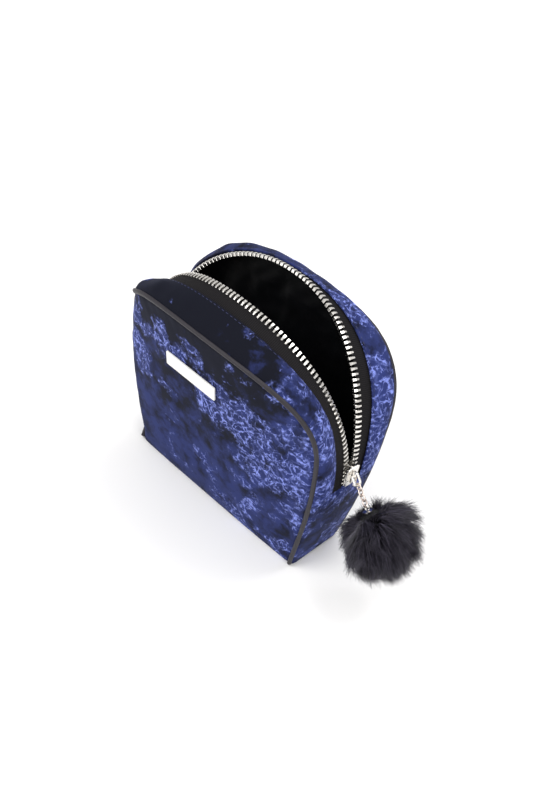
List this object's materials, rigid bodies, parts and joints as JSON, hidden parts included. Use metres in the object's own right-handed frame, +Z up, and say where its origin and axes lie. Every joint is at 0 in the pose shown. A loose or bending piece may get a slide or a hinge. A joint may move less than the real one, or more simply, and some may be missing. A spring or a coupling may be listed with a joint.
{
  "type": "zippered pouch",
  "caption": "Boxy velvet zippered cosmetic pouch with piped domed panels, an open metal zip, satin lining, a plain plate and a fur ball on the puller chain.",
  "frame": {"origin": "middle of the base panel's underside, on the surface that the pouch stands on", "axes": "+Z up, +X along the width towards the end with the slider, the front faces -Y"},
  "size_m": [0.2142, 0.093, 0.1594],
  "materials": {
    "velvet": "navy crushed velvet, short pile flattened in patches",
    "foam": "thin sewn-in foam interlining",
    "lining": "black satin weave polyester",
    "piping": "dark grey imitation leather, wrapped and sewn",
    "piping_cord": "twisted cotton cord",
    "zip_tape": "black woven polyester tape",
    "zip_metal": "polished nickel-plated teeth",
    "plate": "plain white enamelled plate with a bright edge",
    "slider_metal": "polished nickel-plated die casting",
    "chain_metal": "polished wire, slightly warm",
    "stuffing": "polyester fibre fill",
    "fur": "black imitation fur, long soft pile"
  },
  "bodies": {
    "pouch_base": {"base_panel": "velvet", "base_foam": "foam", "base_lining": "lining", "base_piping_right": "piping", "base_piping_left": "piping", "side_gusset_right": "velvet", "side_gusset_left": "velvet", "side_lining_right": "lining", "side_lining_left": "lining", "zip_bottom_stop": "zip_metal", "zip_end_tape_right": "zip_tape", "zip_end_tape_left": "zip_tape"},
    "front_half": {"front_panel": "velvet", "front_foam": "foam", "front_lining": "lining", "front_piping": "piping", "front_piping_cord": "piping_cord", "front_zip_gusset": "velvet", "front_gusset_lining": "lining", "front_zip_tape": "zip_tape", "front_teeth": "zip_metal", "front_top_stop": "zip_metal", "name_plate": "plate"},
    "back_half": {"back_panel": "velvet", "back_foam": "foam", "back_lining": "lining", "back_piping": "piping", "back_piping_cord": "piping_cord", "back_zip_gusset": "velvet", "back_gusset_lining": "lining", "back_zip_tape": "zip_tape", "back_teeth": "zip_metal", "back_top_stop": "zip_metal"},
    "slider": {"slider_body": "slider_metal"},
    "bail": {"puller_bail": "slider_metal"},
    "link_1": {"chain_link_1": "chain_metal"},
    "link_2": {"chain_link_2": "chain_metal"},
    "link_3": {"chain_link_3": "chain_metal"},
    "link_4": {"chain_link_4": "chain_metal"},
    "pompom": {"pompom_cap": "chain_metal", "pompom_stuffing": "stuffing", "pompom_fur": "fur"}
  },
  "joints": [
    {"name": "front_lean", "type": "hinge", "parent": "pouch_base", "child": "front_half", "pos_m": [0, -0.02, 0.0017], "axis": [1, 0, 0], "range_deg": [0, 6]},
    {"name": "back_lean", "type": "hinge", "parent": "pouch_base", "child": "back_half", "pos_m": [0, 0.02, 0.0017], "axis": [-1, 0, 0], "range_deg": [0, 6]},
    {"name": "zip_travel", "type": "hinge", "parent": "pouch_base", "child": "slider", "pos_m": [-0.02559, 0, 0.07014], "axis": [0, -1, 0], "range_deg": [0, 11]},
    {"name": "bail_swing", "type": "hinge", "parent": "slider", "child": "bail", "pos_m": [0.08415, 0, 0.0775], "axis": [0, -1, 0], "range_deg": [0, 50]},
    {"name": "link_1_swing", "type": "hinge", "parent": "bail", "child": "link_1", "pos_m": [0.088, 0, 0.0729], "axis": [0, -1, 0], "range_deg": [0, 20]},
    {"name": "link_2_sway", "type": "hinge", "parent": "link_1", "child": "link_2", "pos_m": [0.08998, 0, 0.07054], "axis": [0.766, 0, 0.6428], "range_deg": [-20, 20]},
    {"name": "link_3_swing", "type": "hinge", "parent": "link_2", "child": "link_3", "pos_m": [0.09212, 0, 0.06799], "axis": [0, -1, 0], "range_deg": [0, 15]},
    {"name": "link_4_sway", "type": "hinge", "parent": "link_3", "child": "link_4", "pos_m": [0.09427, 0, 0.06544], "axis": [0.766, 0, 0.6428], "range_deg": [-20, 20]},
    {"name": "pompom_swing", "type": "hinge", "parent": "link_4", "child": "pompom", "pos_m": [0.09641, 0, 0.06289], "axis": [0, -1, 0], "range_deg": [0, 10]}
  ]
}
